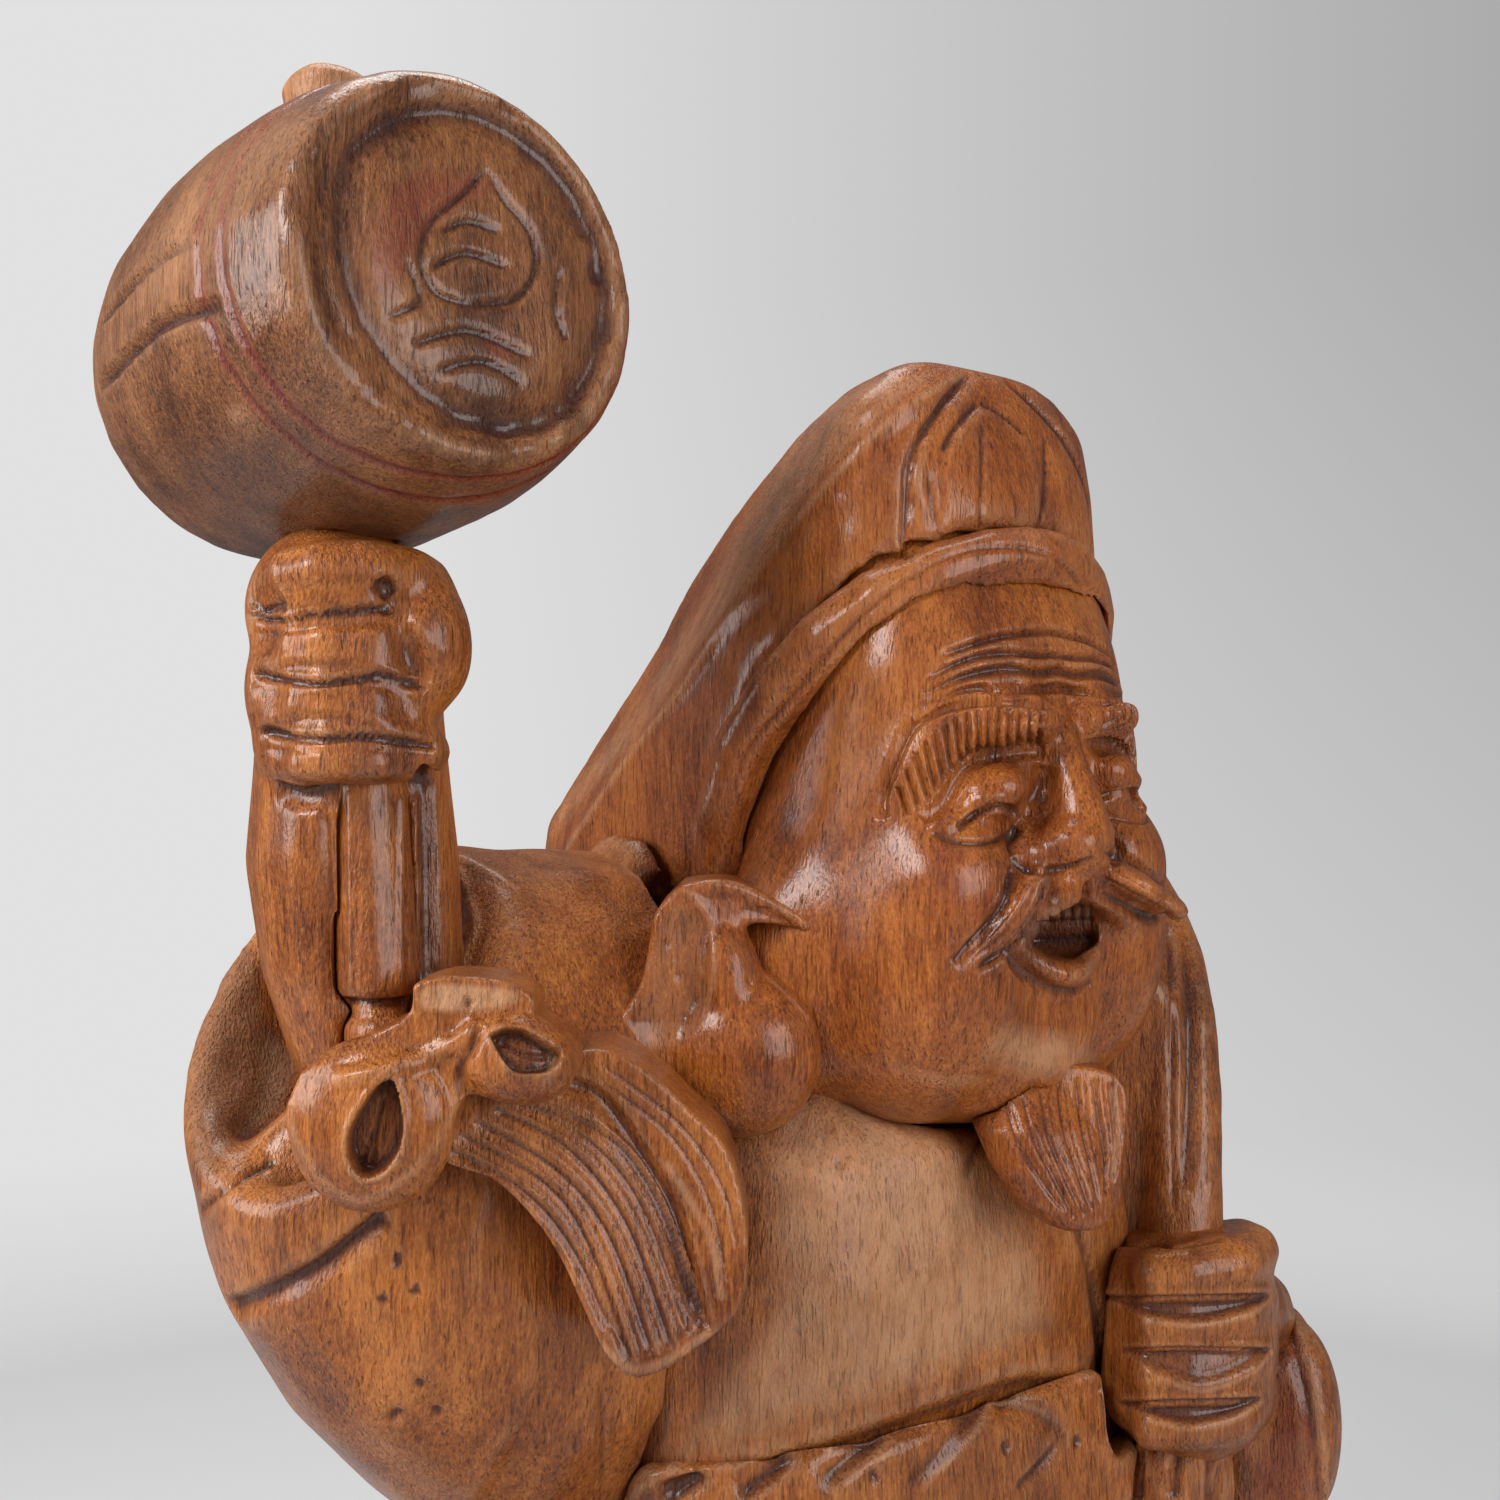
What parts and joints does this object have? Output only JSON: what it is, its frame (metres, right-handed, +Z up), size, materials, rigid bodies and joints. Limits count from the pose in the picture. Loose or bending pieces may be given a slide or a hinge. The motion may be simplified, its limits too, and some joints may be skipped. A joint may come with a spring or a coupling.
{
  "type": "carved wooden figure",
  "caption": "Carved and varnished wooden figure of a laughing man with raised mallet and shouldered sack, standing on rice bales.",
  "frame": {"origin": "middle of the flat underside of the base", "axes": "+Z up; the figure faces -Y; its raised right hand is on the -X side"},
  "size_m": [0.3475, 0.25, 0.6432],
  "materials": {
    "carved_wood": "carved, stained reddish brown, satin varnish",
    "carved_wood_dark": "carved, darker red-brown stain, satin varnish",
    "dowel_wood": "bare pale hardwood, glued"
  },
  "bodies": {
    "root": {"neck_dowel": "dowel_wood", "hat_dowel": "dowel_wood", "beard_peg": "dowel_wood", "bow_peg": "dowel_wood", "tassel_peg": "dowel_wood", "elbow_dowel": "dowel_wood", "sleeve_dowel_upper": "dowel_wood", "sleeve_dowel_lower": "dowel_wood", "left_shoulder_dowel": "dowel_wood", "wrist_dowel": "dowel_wood", "sack_dowel": "dowel_wood", "band_peg_right": "dowel_wood", "ear_peg_right": "dowel_wood", "waist_dowel_right": "dowel_wood", "ankle_dowel_right": "dowel_wood", "boot_dowel_right": "dowel_wood", "bale_dowel_front_right": "dowel_wood", "bale_dowel_back_right": "dowel_wood", "band_peg_left": "dowel_wood", "ear_peg_left": "dowel_wood", "waist_dowel_left": "dowel_wood", "ankle_dowel_left": "dowel_wood", "boot_dowel_left": "dowel_wood", "bale_dowel_front_left": "dowel_wood", "bale_dowel_back_left": "dowel_wood", "base": "carved_wood", "rice_bale_right": "carved_wood", "rice_bale_left": "carved_wood", "boot_right": "carved_wood_dark", "boot_left": "carved_wood_dark", "trousers": "carved_wood", "robe_skirt": "carved_wood", "robe_torso": "carved_wood", "sash": "carved_wood_dark", "head": "carved_wood", "ear_right": "carved_wood", "ear_left": "carved_wood", "beard": "carved_wood", "hat_band": "carved_wood", "hat_crown": "carved_wood", "mallet_head": "carved_wood", "mallet_handle": "carved_wood", "arm_right": "carved_wood", "sleeve_right": "carved_wood", "bow": "carved_wood", "tassel": "carved_wood", "sleeve_left": "carved_wood_dark", "hand_left": "carved_wood", "sack_neck": "carved_wood", "sack_body": "carved_wood_dark"}
  },
  "joints": []
}
